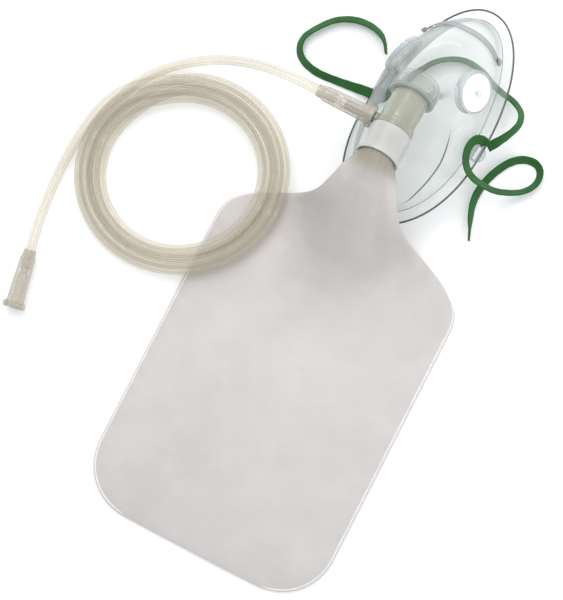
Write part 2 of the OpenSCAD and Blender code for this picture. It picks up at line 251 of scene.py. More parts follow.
def area_light(name, place, target, size, power, size_y=None):
    """A lamp aimed at a target. Its places and sizes are in metres."""
    data = bpy.data.lights.new(name, "AREA")
    data.energy, data.size = power, size
    if size_y:
        data.shape, data.size_y = "RECTANGLE", size_y
    obj = bpy.data.objects.new(name, data)
    bpy.context.scene.collection.objects.link(obj)
    obj.location = place
    obj.rotation_mode = "QUATERNION"
    obj.rotation_quaternion = (Vector(target) - Vector(place)).to_track_quat("-Z", "Y")


def studio():
    """A bright white sweep: an even sky, three soft lamps and paper that glows a little."""
    scene = bpy.context.scene
    scene.view_settings.view_transform = "Standard"
    world = bpy.data.worlds.new("studio")
    scene.world = world
    world.use_nodes = True
    set_inputs(world.node_tree.nodes["Background"], {"Color": (0.93, 0.96, 1, 1), "Strength": 0.74})
    area_light("overhead_soft", (-0.5, 0.55, 1.5), (0, 0, 0), 1.1, 11.5)
    area_light("side_strip", (0.9, 0.1, 0.75), (0, 0.02, 0), 0.16, 3.2, size_y=1.2)
    area_light("top_strip", (-0.1, 1.05, 0.7), (0, 0.1, 0), 0.9, 2.6, size_y=0.12)
    paper, _, shader = nodes_of("floor_paper")
    set_inputs(shader, {"Base Color": (0.96, 0.96, 0.96, 1), "Roughness": 0.9, "Specular IOR Level": 0,
                        "Emission Color": (1, 1, 1, 1), "Emission Strength": 0.1})
    reach = 4000
    floor = mesh("floor", [(-reach, -reach, 0), (reach, -reach, 0), (reach, reach, 0), (-reach, reach, 0)],
                 [(0, 1, 2, 3)], paper)
    floor.location.z = -0.0004


# ---------------------------------------------------------------- materials
def nodes_of(name):
    m = bpy.data.materials.new(name)
    m.use_nodes = True
    tree = m.node_tree
    return m, tree, tree.nodes["Principled BSDF"]


def add(tree, kind, **values):
    """A node with its plain settings and its inputs' values."""
    n = tree.nodes.new("ShaderNode" + kind)
    for k, v in values.items():
        if k in n.inputs:
            n.inputs[k].default_value = v
        else:
            setattr(n, k, v)
    return n


def set_inputs(node, values):
    for name, value in values.items():
        node.inputs[name].default_value = value


def put(tree, socket, value):
    """Links a socket to another node's output, or gives it a plain value."""
    if isinstance(value, bpy.types.NodeSocket):
        tree.links.new(value, socket)
    else:
        socket.default_value = value


def math_of(tree, operation, *values):
    n = add(tree, "Math", operation=operation)
    for socket, value in zip(n.inputs, values):
        put(tree, socket, value)
    return n.outputs[0]


def span(tree, source, to_min=0.0, to_max=1.0, from_min=0.0, from_max=1.0):
    """A value carried from one range to another."""
    n = add(tree, "MapRange")
    set_inputs(n, {"From Min": from_min, "From Max": from_max, "To Min": to_min, "To Max": to_max})
    tree.links.new(source, n.inputs["Value"])
    return n.outputs["Result"]


def blend_of(tree, share, a, b, kind="MIX"):
    """Two colours blended, each a plain colour or another node's output."""
    n = add(tree, "Mix", data_type="RGBA", blend_type=kind)
    for name, value in (("Factor", share), ("A", a), ("B", b)):
        put(tree, n.inputs[name], value)
    return n.outputs["Result"]


def ramp(tree, source, stops):
    n = tree.nodes.new("ShaderNodeValToRGB")
    while len(n.color_ramp.elements) < len(stops):
        n.color_ramp.elements.new(0.5)
    for e, (at, colour) in zip(n.color_ramp.elements, stops):
        e.position, e.color = at, (*colour, 1)
    tree.links.new(source, n.inputs["Fac"])
    return n.outputs["Color"]


def noise_of(tree, scale, detail=3, rough=0.5):
    """Noise over the piece's own place."""
    where = add(tree, "TexCoord")
    n = add(tree, "TexNoise", Scale=scale, Detail=detail, Roughness=rough)
    tree.links.new(where.outputs["Object"], n.inputs["Vector"])
    return n.outputs["Fac"]


def bump(tree, shader, height, strength, distance):
    n = add(tree, "Bump", Strength=strength, Distance=distance)
    tree.links.new(height, n.inputs["Height"])
    tree.links.new(n.outputs["Normal"], shader.inputs["Normal"])


def clear(name, face, edge, least, most, roughness, tint, power, dark=(0.55, 0.97), wave=0.3):
    """Clear plastic: see-through face on, and darker towards its outline, partly with painted shade.

    face is its own colour. edge, the colour at its outline, is partly its own tint seen through more plastic
    at a slant and partly painted shade for the dark surroundings seen through it, and dark gives the slants
    between which one turns into the other. least and most are how much of them shows, and power how late that
    rises. tint is what it does to what lies behind it, and wave how uneven its surface is."""
    m, tree, p = nodes_of(name)
    aslant = add(tree, "LayerWeight", Blend=0.5).outputs["Facing"]
    # Darker towards the outline: partly the plastic's own tint through a longer path, partly painted shade
    colour = ramp(tree, aslant, [(0.0, face), (dark[0], face), (dark[1], edge)])
    tree.links.new(colour, p.inputs["Base Color"])
    set_inputs(p, {"Roughness": roughness, "IOR": 1.5, "Coat Weight": 0.5, "Coat Roughness": 0.04})
    bump(tree, p, noise_of(tree, 60, 2), wave, 0.0006)
    through = add(tree, "BsdfTransparent", Color=(*tint, 1))
    both = add(tree, "MixShader")
    tree.links.new(span(tree, math_of(tree, "POWER", aslant, power), least, most), both.inputs["Fac"])
    tree.links.new(through.outputs[0], both.inputs[1])
    tree.links.new(p.outputs[0], both.inputs[2])
    tree.links.new(both.outputs[0], tree.nodes["Material Output"].inputs["Surface"])
    return m


def clouded(name, dark, light, roughness, scale, grain, translucent=0.0, coat=0.0):
    """A soft plastic whose colour drifts between two tones, with a fine grain."""
    m, tree, p = nodes_of(name)
    drift = noise_of(tree, scale, 4, 0.55)
    tree.links.new(ramp(tree, drift, [(0.3, dark), (0.7, light)]), p.inputs["Base Color"])
    tree.links.new(span(tree, drift, roughness - 0.06, roughness + 0.08), p.inputs["Roughness"])
    set_inputs(p, {"Coat Weight": coat, "Coat Roughness": 0.12})
    bump(tree, p, noise_of(tree, 900, 2), grain, 0.0002)
    if translucent:
        set_inputs(p, {"Subsurface Weight": translucent, "Subsurface Radius": (0.004, 0.004, 0.004),
                       "Subsurface Scale": 1})
    return m


def bag_material():
    """Frosted film: slow drifts of tone, finer cockles, and painted shade at its neck under the sleeve's lip
    and on the underside film.
    """
    m, tree, p = nodes_of("bag_film")
    slow = ramp(tree, noise_of(tree, 9, 3, 0.5),
                [(0.32, (0.545, 0.515, 0.49)), (0.68, (0.605, 0.565, 0.545))])
    fine = ramp(tree, noise_of(tree, 55, 5, 0.6),
                [(0.3, (0.955, 0.955, 0.955)), (0.7, (1.03, 1.03, 1.03))])
    tone = blend_of(tree, 1, slow, fine, "MULTIPLY")
    # The neck colour blends in a brownish dark as painted shade: under the sleeve's lip on the front film,
    # and evenly over the back film
    neck = add(tree, "VertexColor", layer_name="neck").outputs["Color"]
    tree.links.new(blend_of(tree, neck, tone, (0.27, 0.25, 0.185, 1)), p.inputs["Base Color"])
    set_inputs(p, {"Roughness": 0.42, "Specular IOR Level": 0.45, "Coat Weight": 0.15, "Coat Roughness": 0.2})
    cockle = add(tree, "Bump", Strength=0.35, Distance=0.0012)
    tree.links.new(noise_of(tree, 38, 4, 0.6), cockle.inputs["Height"])
    grain = add(tree, "Bump", Strength=0.12, Distance=0.0002)
    tree.links.new(noise_of(tree, 700, 2), grain.inputs["Height"])
    tree.links.new(cockle.outputs["Normal"], grain.inputs["Normal"])
    tree.links.new(grain.outputs["Normal"], p.inputs["Normal"])
    return m


RIB_PITCH, PICK_PITCH = 0.00078, 0.0009


def elastic_material():
    """Woven elastic: ribs along it, picks across it, both from the ribbon's own map in metres."""
    m, tree, p = nodes_of("green_elastic")
    split = add(tree, "SeparateXYZ")
    tree.links.new(add(tree, "UVMap", uv_map="strap").outputs["UV"], split.inputs[0])
    ribs, picks = (math_of(tree, "SINE", math_of(tree, "MULTIPLY", split.outputs[axis], 2 * math.pi / pitch))
                   for axis, pitch in (("X", RIB_PITCH), ("Y", PICK_PITCH)))
    height = math_of(tree, "MULTIPLY_ADD", ribs, 0.5, math_of(tree, "MULTIPLY", ribs, picks))
    # The colour follows the weave's height: painted shade in its hollows and painted highlight on its raised
    # threads
    shaded_weave = ramp(tree, span(tree, height, from_min=-1.5, from_max=1.5),
                 [(0.0, (0.012, 0.058, 0.013)), (0.5, (0.034, 0.14, 0.036)), (1.0, (0.06, 0.235, 0.065))])
    drift = ramp(tree, noise_of(tree, 70, 3), [(0.3, (0.78, 0.8, 0.72)), (0.7, (1.12, 1.15, 1.1))])
    colour = blend_of(tree, 1, shaded_weave, drift, "MULTIPLY")
    tip = add(tree, "VertexColor", layer_name="tip").outputs["Color"]
    tree.links.new(blend_of(tree, tip, colour, (0.16, 0.11, 0.035, 1)), p.inputs["Base Color"])
    set_inputs(p, {"Roughness": 0.8, "Sheen Weight": 0.12, "Sheen Roughness": 0.4,
                   "Specular IOR Level": 0.12})
    bump(tree, p, height, 0.7, 0.00018)
    return m


# Each edge colour below is partly the plastic's own tint at a slant and partly painted shade along the
# piece's outline
VINYL = clear("clear_vinyl", face=(0.77, 0.79, 0.765), edge=(0.06, 0.085, 0.08), least=0.1, most=0.97,
              roughness=0.07, tint=(0.958, 0.967, 0.96), power=2.3, dark=(0.45, 0.9))
# A dark material for a line of painted shade along the chin fold
FOLD_SHADE = clear("painted_fold_shade", face=(0.12, 0.15, 0.15), edge=(0.03, 0.045, 0.045), least=0.5, most=0.95,
               roughness=0.1, tint=(0.75, 0.8, 0.8), power=1)
# A grey material for a faint line of painted shade at the foot of the flange
STEP_SHADE = clear("painted_step_shade", face=(0.36, 0.41, 0.41), edge=(0.06, 0.08, 0.08), least=0.3, most=0.9,
             roughness=0.1, tint=(0.85, 0.88, 0.88), power=1.2)
# Almost black: painted shade for the dark line along the mask's rolled rim
RIM_SHADE = clear("rim_painted_shade", face=(0.085, 0.10, 0.105), edge=(0.02, 0.03, 0.03), least=0.72, most=1,
             roughness=0.1, tint=(0.7, 0.74, 0.74), power=1)
EAR = clear("clear_ear", face=(0.55, 0.60, 0.60), edge=(0.08, 0.10, 0.10), least=0.3, most=1,
            roughness=0.08, tint=(0.85, 0.88, 0.88), power=1.2)
RING = clear("clear_grey_ring", face=(0.60, 0.63, 0.59), edge=(0.13, 0.15, 0.14), least=0.42, most=0.97,
             roughness=0.1, tint=(0.86, 0.89, 0.86), power=1.5)
SEAT = clear("clear_hard_plastic", face=(0.82, 0.86, 0.86), edge=(0.10, 0.12, 0.12), least=0.22, most=0.98,
             roughness=0.08, tint=(0.94, 0.96, 0.96), power=1.6)
STUD = clear("clear_stud_plastic", face=(0.42, 0.46, 0.46), edge=(0.03, 0.04, 0.04), least=0.45, most=1,
             roughness=0.1, tint=(0.8, 0.82, 0.82), power=1)
STRIP = clear("grey_nose_strip", face=(0.50, 0.53, 0.53), edge=(0.12, 0.13, 0.13), least=0.5, most=0.98,
              roughness=0.2, tint=(0.8, 0.82, 0.82), power=1, dark=(0.3, 0.8))
CONNECTOR = clear("clear_beige", face=(0.72, 0.685, 0.61), edge=(0.20, 0.175, 0.14), least=0.26, most=0.97,
                  roughness=0.09, tint=(0.95, 0.925, 0.89), power=1.2, dark=(0.3, 0.85), wave=0.04)
TUBE = clear("clear_tubing", face=(0.66, 0.635, 0.57), edge=(0.22, 0.195, 0.145), least=0.2, most=0.9,
             roughness=0.06, tint=(0.985, 0.966, 0.925), power=2.8, dark=(0.62, 0.92), wave=0.03)
# The bore is lighter than the tube: a painted highlight along the tube's core, with darker edge lines of
# painted shade
LUMEN_HIGHLIGHT = clear("tubing_bore_highlight", face=(0.93, 0.90, 0.83), edge=(0.33, 0.29, 0.22), least=0.14, most=0.75,
              roughness=0.1, tint=(0.99, 0.978, 0.95), power=2.2, dark=(0.35, 0.7), wave=0.03)
HOUSING = clouded("olive_grey_housing", (0.295, 0.30, 0.235), (0.36, 0.365, 0.295), roughness=0.2, scale=30,
                  grain=0.05, translucent=0.15, coat=0.5)
SLEEVE = clouded("white_sleeve", (0.47, 0.465, 0.435), (0.55, 0.545, 0.515), roughness=0.3, scale=45,
                 grain=0.06, translucent=0.2, coat=0.3)
WELD = clouded("weld_line", (0.70, 0.68, 0.665), (0.82, 0.80, 0.785), roughness=0.35, scale=200,
               grain=0.1, coat=0.2)
DISC = clouded("white_silicone", (0.90, 0.91, 0.92), (0.96, 0.97, 0.98), roughness=0.4, scale=120,
               grain=0.04, translucent=0.1)
INLET = clouded("cream_silicone", (0.84, 0.83, 0.78), (0.9, 0.89, 0.84), roughness=0.45, scale=120,
                grain=0.04)
FILM = bag_material()
ELASTIC = elastic_material()


# ---------------------------------------------------------------- sizes shared with the CAD design
MASK_W, NOSE_L, CHIN_L, SHELL_T = 81, 84, 60, 1.2
MASK_ROLL, MASK_YAW = 16, 6
RIM_HALF, RIM_POWER, FLANGE_W = MASK_W / 2, 2 / 2.08, 7
MASK_AT = vec(10, 100, RIM_HALF * sind(MASK_ROLL) + SHELL_T / 2 + 1.6)
TUBE_R, PORT_TILT = 11, 18
PORT_AT = vec(0, 113, 48.8)
PORT_DIR = vec(0, -cosd(PORT_TILT), sind(PORT_TILT))
PORT_UP = vec(0, sind(PORT_TILT), cosd(PORT_TILT))
SLEEVE_DEPTH, SLEEVE_R = 9, TUBE_R + 3.4
VALVE_ANGLE, VALVE_HEIGHT = 25, 0.36
CLIP_AT = (50, 60, 70, 80, 90, 100, 110, 120, 134)
CLIP_HEIGHTS = (0.1, 0.26, 0.385, 0.45, 0.475, 0.475, 0.46, 0.42, 0.34)
CLIP_W, CLIP_T, CLIP_GAP = 4.2, 0.8, 0.5
SLOT_X, SLOT_Y = 37.5, 7
NIPPLE_AT, NIPPLE_R, NIPPLE_END = 23, 3.1, 32
BAND_AT, BAND_END, BAND_R = 22, 27, TUBE_R + 1.2
BORE_R, SPIGOT_R, SPIGOT_END = TUBE_R - 1.6, TUBE_R - 0.6, 43.5
COLLAR_END, COLLAR_R = 46, 13
FUNNEL_L = 37
NEAR_MOUTH = PORT_AT + PORT_DIR * NIPPLE_AT - vec(BAND_R + 1, 0, 0)
NEAR_END = NEAR_MOUTH - vec(FUNNEL_L, 0, 0)
FAR_AT, FAR_DIR = vec(-169.6, -67.6, 7.3), vec(0.19, -0.982, 0)
HOSE_D = 6
COIL_AT, COIL_OUT, COIL_TIP = vec(-107.5, 15, 0), 65, 3.8
LEAD_ROUTE = [(-62, 91.3, 55.6), (-73, 91.3, 52.6), (-84, 91.2, 45.6), (-95, 90.6, 35.8), (-106, 89.2, 25),
              (-117, 87, 15.5), (-128, 82.5, 8.5), (-139, 76, 4.5), (-149, 67.5, 3.4), (-157, 57.5, 3.2),
              (-162.5, 47, 3.2), (-166, 37, 3.2)]
TAIL_ROUTE = [(-173.6, 22, 7.9), (-176.3, 4.5, 6), (-177, -12, 4.6), (-176.2, -29, 4.6), (-174.2, -44, 6),
              (-172, -56, 7)]
STRAP_LEFT = [(-28.5, 110, 3.4, 4), (-33, 109.6, 4.2, 15), (-40, 108.8, 3.6, 35), (-52, 107.5, 3.6, 50),
              (-64, 107, 3.4, 50), (-74, 109.5, 3.3, 50), (-80, 115, 3.2, 50), (-81, 123, 3.2, 50),
              (-76, 132, 3.2, 48), (-68.5, 140.5, 3.2, 45), (-59, 145.6, 3.1, 42), (-49.5, 147, 3.2, 46),
              (-41.5, 145.6, 3.3, 55), (-35.8, 141.8, 3.5, 64), (-31.5, 135.5, 3.7, 76)]
STRAP_MID = [(-22.6, 110.5, 0.5, 0), (-20.5, 113.5, 0.6, 0), (-17.5, 118.5, 1.2, 12), (-14, 126, 2.2, 30),
             (-9, 135, 3.2, 48), (-3, 144, 3.4, 52), (5, 150, 3.4, 52), (14, 153, 3.4, 52),
             (25, 151.5, 3.6, 50), (34, 147.5, 4.5, 50), (43, 144.5, 7, 50), (51, 142.5, 10, 52),
             (58, 138, 13, 56), (60.5, 131, 16.5, 60), (58.5, 123, 19, 58), (54.5, 115.5, 20, 40),
             (50.5, 109.5, 20.6, 20)]
STRAP_RIGHT = [(49.5, 109, 27, 20), (47.5, 110.6, 30, 25), (43.5, 109, 32.5, 40), (41.6, 104, 33, 50),
               (42.5, 97.5, 32, 52), (46, 92, 30.8, 50), (51.5, 88.6, 28.8, 48), (58, 88, 23.5, 46),
               (65, 89, 14.5, 46), (72, 92, 8.5, 48), (79, 96.5, 4.5, 50), (83.5, 102, 3.3, 50),
               (85, 108, 3.2, 50), (83, 113.5, 3.2, 50), (78, 116, 3.2, 50), (71, 114.5, 3.2, 50),
               (65, 109.5, 3.2, 50), (60.5, 102, 3.2, 50), (57.5, 94, 3.2, 50), (56, 85.5, 3.2, 48),
               (56.5, 77.5, 3.2, 55), (59, 69.5, 3.4, 65), (62, 62.5, 3.6, 75), (64.5, 56.5, 3.7, 80)]


# ---------------------------------------------------------------- tubing
# Angle round the coil where the lead joins it, and the step from one flat turn to the next
COIL_ENTER, TURN_STEP = 159.4, 6.5
# How far the tube goes into a connector, and the part of that which keeps it straight
SOCKET, STRAIGHT = 11.5, 6
BORE_OF_TUBE = 1.6
# Spacing of the points along the tube, and how many of them each smoothing looks over
STEP_ALONG, WINDOW = 2.6, 9


def coil_points():
    """Turns three wide below and two wide on top, from (run, radius, height) knots.

    The lead joins as the outer turn; each turn steps inward at the upper left, the third climbs
    over the second, and the fifth leaves over the lead."""
    def at(turn, angle):
        return 360 * turn + angle - COIL_ENTER

    knots = [(0, 62.5, 3.2), (15, 62, 3.1)]
    for turn, outer in ((1, 62), (2, 55.5)):
        knots += [(at(turn, 110), outer, 3.1), (at(turn, 150), outer - TURN_STEP, 3.1)]
    for turn, steps in ((3, ((110, 49, 3.1), (130, 47.5, 6.6), (150, 50.5, 8.9), (170, 52.25, 8.1))),
                        (4, ((110, 52.25, 8.1), (130, 53.5, 9), (150, 57, 8.9), (170, 58.75, 8.1))),
                        (5, ((110, 58.75, 8.1), (130, 60, 9.1), (150, 63.5, 9.3), (159, 64.8, 9.1),
                             (174, 66.5, 8)))):
        knots += [(at(turn, angle), r, z) for angle, r, z in steps]
    run = np.arange(0, knots[-1][0] + 0.1, 2.0)
    k = np.array(knots)
    padded = [np.pad(np.interp(run, k[:, 0], k[:, c]), WINDOW // 2, mode="edge") for c in (1, 2)]
    radii, heights = (np.convolve(line, np.ones(WINDOW) / WINDOW, "valid") for line in padded)
    lift = COIL_OUT * sind(COIL_TIP)
    out = []
    for a, r, z in zip(run, radii, heights):
        # A small slow wander, so that the turns don't look machine-wound
        r += 0.22 * math.sin(math.radians(a) * 1.37 + 0.6) + 0.12 * math.sin(math.radians(a) * 3.11)
        x, y = r * cosd(a + COIL_ENTER), r * sind(a + COIL_ENTER)
        # An oval, a little longer across the picture and a little shorter up it
        long, short = x * ACROSS[0] + y * ACROSS[1], -x * ACROSS[1] + y * ACROSS[0]
        long, short = long * 1.03 - 0.7, short * 0.962 + 0.6
        x, y = long * ACROSS[0] - short * ACROSS[1], long * ACROSS[1] + short * ACROSS[0]
        out.append(COIL_AT + vec(x * cosd(COIL_TIP) - z * sind(COIL_TIP), y,
                                 x * sind(COIL_TIP) + z * cosd(COIL_TIP) + lift))
    return out


def smoothed_route(route):
    """The route with its bends softened, but not at its ends, and kept on the table."""
    for _ in range(3):
        route[9:-9] = (route[8:-10] + 2 * route[9:-9] + route[10:-8]) / 4
    soft = np.stack([np.convolve(route[:, c], np.ones(WINDOW) / WINDOW, "same") for c in range(3)], axis=1)
    from_end = np.minimum(np.arange(len(route)), np.arange(len(route))[::-1])[:, None]
    share = np.clip((from_end - 8) / 10, 0, 1)
    route = route * (1 - share) + soft * share
    route[:, 2] = np.maximum(route[:, 2], HOSE_D / 2 + 0.05)
    return route


def tubing():
    """One length of tube: out of the near connector, round its coil and into the far connector."""
    lead = [NEAR_END + vec(SOCKET, 0, 0), NEAR_END + vec(STRAIGHT, 0, 0), NEAR_END, *LEAD_ROUTE]
    tail = [*TAIL_ROUTE, FAR_AT, FAR_AT + FAR_DIR * STRAIGHT, FAR_AT + FAR_DIR * SOCKET]
    route = smoothed_route(spaced(catmull([*lead, *coil_points()[4:-6:3], *tail], 6), STEP_ALONG))
    outer = tube("oxygen_tube", route, HOSE_D / 2, TUBE, 18)
    # The bore's light colour is a painted highlight down the tube's middle
    bore = tube("oxygen_tube_bore", route, BORE_OF_TUBE, LUMEN_HIGHLIGHT, 14, star=0.09, half=True)
    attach(bore, "oxygen_tubing")
    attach(outer, "oxygen_tubing")
    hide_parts("oxygen_tube_lead", "oxygen_tube_coil", "oxygen_tube_tail")


def connector(name, mouth, away, node):
    """Funnel connector: a fluted body, a notched flange at its mouth and a stepped tube end."""
    body = rounded([(0.4, 3.3), (0.4, 5.4), (0.6, 5.6), (4.5, 5.5), (6, 5.35), (20, 5.0), (31.5, 4.7),
                    (33, 4.0), (36.9, 3.75), (36.9, 3.05), (25, 3.05), (24.6, 2.1), (22, 2.1), (21.6, 3.2)],
                   0.35, 2, True)
    rim_profile = rounded([(0.3, 5.2), (0.3, 7.0), (4.0, 7.1), (4.0, 5.2)], 0.6, 3, True)

    def fluted(a, s):
        along = smooth((s - 4) / 3) * smooth((32.5 - s) / 2)
        return 1 - 0.085 * along * (0.5 - 0.5 * cosd(12 * a)) ** 2

    def notched(a, _):
        from_quarter = abs(((a + 45) % 90) - 45)
        waves = 0.955 + 0.045 * cosd(8 * a)
        return waves * (0.87 if abs(from_quarter - 45) < 8 else 1)

    shell = turned(name, mouth, away, body, CONNECTOR, 96, fluted)
    flange = turned(name + "_flange", mouth, away, rim_profile, CONNECTOR, 144, notched)
    for piece in (shell, flange):
        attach(piece, "oxygen_tubing")
    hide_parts(node)
    flange.parent = shell
    flange.matrix_parent_inverse = Matrix.Identity(4)
    return shell


# ---------------------------------------------------------------- strap
STRAP_HALF_W, STRAP_HALF_T = 3.05, 0.46
# A cut end is narrower over its last stretch, and heat-sealed at its very tip
NARROWING_FROM, NARROWING_TO, SEALED = 12, 7, 2.2


def strap(name, route, node, cut_end=False):
    """A ribbon along a route whose fourth number is the angle of its face to the table."""
    line = spaced(catmull(route, 8), 1.3)
    total = line_length(line)
    rings, along = [], np.linspace(0, total, len(line))
    to_tip = total - along if cut_end else np.full(len(line), total)
    section = [(1, 0.35), (0.93, 0.9), (0.6, 1), (0.2, 1), (-0.2, 1), (-0.6, 1), (-0.93, 0.9), (-1, 0.35)]
    section += [(x, -z) for x, z in section[::-1]]
    for i, p in enumerate(line):
        t = unit(line[min(i + 1, len(line) - 1)][:3] - line[max(i - 1, 0)][:3])
        s = unit(np.cross(t, vec(0, 0, 1)))
        u = np.cross(s, t)
        c, d = cosd(p[3]), sind(p[3])
        full = smooth((to_tip[i] - NARROWING_TO) / (NARROWING_FROM - NARROWING_TO))
        w = STRAP_HALF_W * (0.58 + 0.42 * full) * (1 + 0.025 * math.sin(along[i] * 0.9))
        h = STRAP_HALF_T
        rings.append([p[:3] + s * (c * x * w - d * z * h) + u * (d * x * w + c * z * h) for x, z in section])
    n = len(section)
    obj = skin(name, rings, ELASTIC, caps=True)
    uv = obj.data.uv_layers.new(name="strap")
    tip = obj.data.color_attributes.new("tip", "FLOAT_COLOR", "POINT")
    for v in range(len(obj.data.vertices)):
        k = 1.0 if to_tip[v // n] < SEALED else 0.0
        tip.data[v].color = (k, k, k, 1)
    for loop in obj.data.loops:
        v = loop.vertex_index
        uv.data[loop.index].uv = (section[v % n][0] * STRAP_HALF_W * MM, along[v // n] * MM)
    face_out(obj)
    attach(obj, "mask")
    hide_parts(node)


# ---------------------------------------------------------------- mask
def noseward(a):
    return max(0, sind(a)) ** 2


def chinward(a):
    return min(0, sind(a)) ** 2


def mixed(a, nose, cheek, chin):
    """A value that runs from one at the nose end over one at the cheeks to one at the chin."""
    return nose * noseward(a) + cheek * cosd(a) ** 2 + chin * chinward(a)


def power(c, k):
    return math.copysign(abs(c) ** k, c)


def placed(p):
    """From the mask's own frame, with its rim plane at z = 0, to the row frame."""
    cr, sr, cy, sy = cosd(MASK_ROLL), sind(MASK_ROLL), cosd(MASK_YAW), sind(MASK_YAW)
    x, y, z = p[0] * cr - p[2] * sr, p[1], p[0] * sr + p[2] * cr
    return MASK_AT + vec(x * cy + y * sy, y * cy - x * sy, z)


def rim(a, inset, rise):
    """A point of the rim at an angle round it, in the mask's own frame."""
    end = NOSE_L if sind(a) > 0 else CHIN_L
    return vec((RIM_HALF - inset) * power(cosd(a), RIM_POWER),
               (end - inset) * power(sind(a), RIM_POWER), mixed(a, 5, 0, 1) + rise)


def port_ring(a, r, s):
    return PORT_AT + PORT_DIR * s + (cosd(a) * vec(1, 0, 0) + sind(a) * PORT_UP) * r


def wall(a, t):
    """The outside of the shell, from the foot of its flange to the sleeve of its port."""
    foot = rim(a, FLANGE_W, 1)
    inward = -unit(vec(foot[0], foot[1], 0))
    low = foot + vec(0, 0, mixed(a, 28, 27, 32)) + inward * mixed(a, 5, 4, 2)
    top = port_ring(a, SLEEVE_R, -SLEEVE_DEPTH)
    out = cosd(a) * vec(1, 0, 0) + sind(a) * PORT_UP
    high = top + out * mixed(a, 3, 13, 9) - PORT_DIR * mixed(a, 30, 16, -2)
    p0, p1 = placed(foot), placed(low)
    return (1 - t) ** 3 * p0 + 3 * (1 - t) ** 2 * t * p1 + 3 * (1 - t) * t * t * high + t ** 3 * top


def wall_normal(a, t):
    return unit(np.cross(wall(a + 1, t) - wall(a - 1, t), wall(a, t + 0.02) - wall(a, t - 0.02)))


def peg(at, axis, radius, below, above, material):
    """A round cutter."""
    return turned("peg", at, axis, [(-below, radius), (above, radius)], material, 64, closed=False)


# The shell's folds, as lines seen from above; they lie to the right of FOLDS_FROM
CHIN_FOLD = np.array(catmull([(28, 107), (29.6, 101), (30.8, 94), (31, 85), (28.6, 73), (24.4, 61.5),
                              (21, 56)], 10))
CHEEK_FOLD = np.array(catmull([(29, 102), (33, 111.5), (37.6, 118.5), (42, 124)], 10))
FOLDS_FROM = 4
# Radius of the shell's hole under an exhalation valve
HOLE_R = 12.2


def gap_to(line, p):
    """Distance to a line seen from above, positive on its right, and its strength, nil at its ends."""
    d = np.linalg.norm(line - p[:2], axis=1)
    i = int(d.argmin())
    a, b = line[max(i - 1, 0)], line[min(i + 1, len(line) - 1)]
    side = (b[1] - a[1]) * (p[0] - a[0]) - (b[0] - a[0]) * (p[1] - a[1])
    return math.copysign(d[i], side), smooth(min(i, len(line) - 1 - i) / (0.2 * len(line)))


def swell(height, off, width):
    return height * math.exp(-(off / width) ** 2)


def fold(p, normal):
    """A shell point moved for the moulded fold of the chin and the soft one beside the valve."""
    if p[0] < FOLDS_FROM or normal[2] < 0.1:
        return p
    d, strength = gap_to(CHIN_FOLD, p)
    # A groove, a hollow flank on its right and a low ridge on its left
    move = strength * (swell(-0.8, d, 1.3) + swell(-1.3, d - 4.6, 3) + swell(0.5, d + 3, 2.2))
    d, strength = gap_to(CHEEK_FOLD, p)
    move += strength * swell(-1, d, 3)
    return p + normal * move


def bead_along(name, edge, radius, material):
    """A bead of a round section along a closed line."""
    n = len(edge)
    rings = []
    for i, p in enumerate(edge):
        t = unit(edge[(i + 1) % n] - edge[i - 1])
        s = unit(np.cross(t, vec(0, 0, 1)))
        u = np.cross(s, t)
        rings.append([p + (s * cosd(b) + u * sind(b)) * radius for b in range(0, 360, 30)])
    return face_out(skin(name, rings, material, joined=True))


def fold_shade_line(shell, name, line, radius, material):
    """A dark line of painted shade along the bottom of a fold: a line seen from above, laid on the shell and
    thin at both ends.
    """
    path = []
    for x, y in line:
        hit, where, _, _ = shell.ray_cast(Vector((x, y, 200)) * MM, Vector((0, 0, -1)))
        if hit:
            path.append(np.array(where) / MM)
    last = len(path) - 1

    def tapered(i):
        return radius * (0.15 + 0.85 * smooth(min(i, last - i) / (0.3 * last)))

    return tube(name, path, tapered, material, 10)


def mask_shell():
    """Flange, wall and port sleeve in one skin, with its folds, the two valve holes, and dark lines of
    painted shade along its folds and rim.
    """
    angles = [k * 360 / 64 for k in range(64)]
    rows = [[placed(rim(a, inset, lift)) for a in angles]
            for inset, lift in ((0.3, 0.0), (2, 0.15), (4, 0.4), (5.8, 0.75), (6.8, 1.3))]
    rows += [[wall(a, t) for a in angles]
             for t in (0.03, 0.08, 0.16, 0.25, 0.35, 0.46, 0.57, 0.68, 0.78, 0.87, 0.94, 0.985)]
    rows += [[port_ring(a, SLEEVE_R, s) for a in angles] for s in (-8.4, -6.5, -3.5, -0.4)]
    shell = subdivide(skin("mask_wall", rows, VINYL), 2)
    for v in shell.data.vertices:
        v.co = Vector(fold(np.array(v.co) / MM, np.array(v.normal)) * MM)
    # Thin dark lines laid on the shell as painted shade: one in the chin fold, one at the foot of the flange
    lines = [fold_shade_line(shell, "chin_fold_shade", CHIN_FOLD, 0.42, FOLD_SHADE),
             bead_along("flange_step_shade", [placed(rim(a, 6.9, 1.35)) for a in range(0, 360, 3)], 0.28, STEP_SHADE)]
    thicken(shell, SHELL_T, -1)
    for a in (VALVE_ANGLE, 180 - VALVE_ANGLE):
        cut(shell, peg(wall(a, VALVE_HEIGHT), wall_normal(a, VALVE_HEIGHT), HOLE_R, 4.2, 6, VINYL))
    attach(shell, "mask")
    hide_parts("mask_shell")
    # The rolled rim, its bead coloured almost black as painted shade along the mask's outline
    edge = [placed(rim(k * 2.5, 0.2, -0.1)) for k in range(144)]
    lines.append(bead_along("mask_rim_bead", edge, 0.6, RIM_SHADE))
    for line in lines:
        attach(line, "mask")


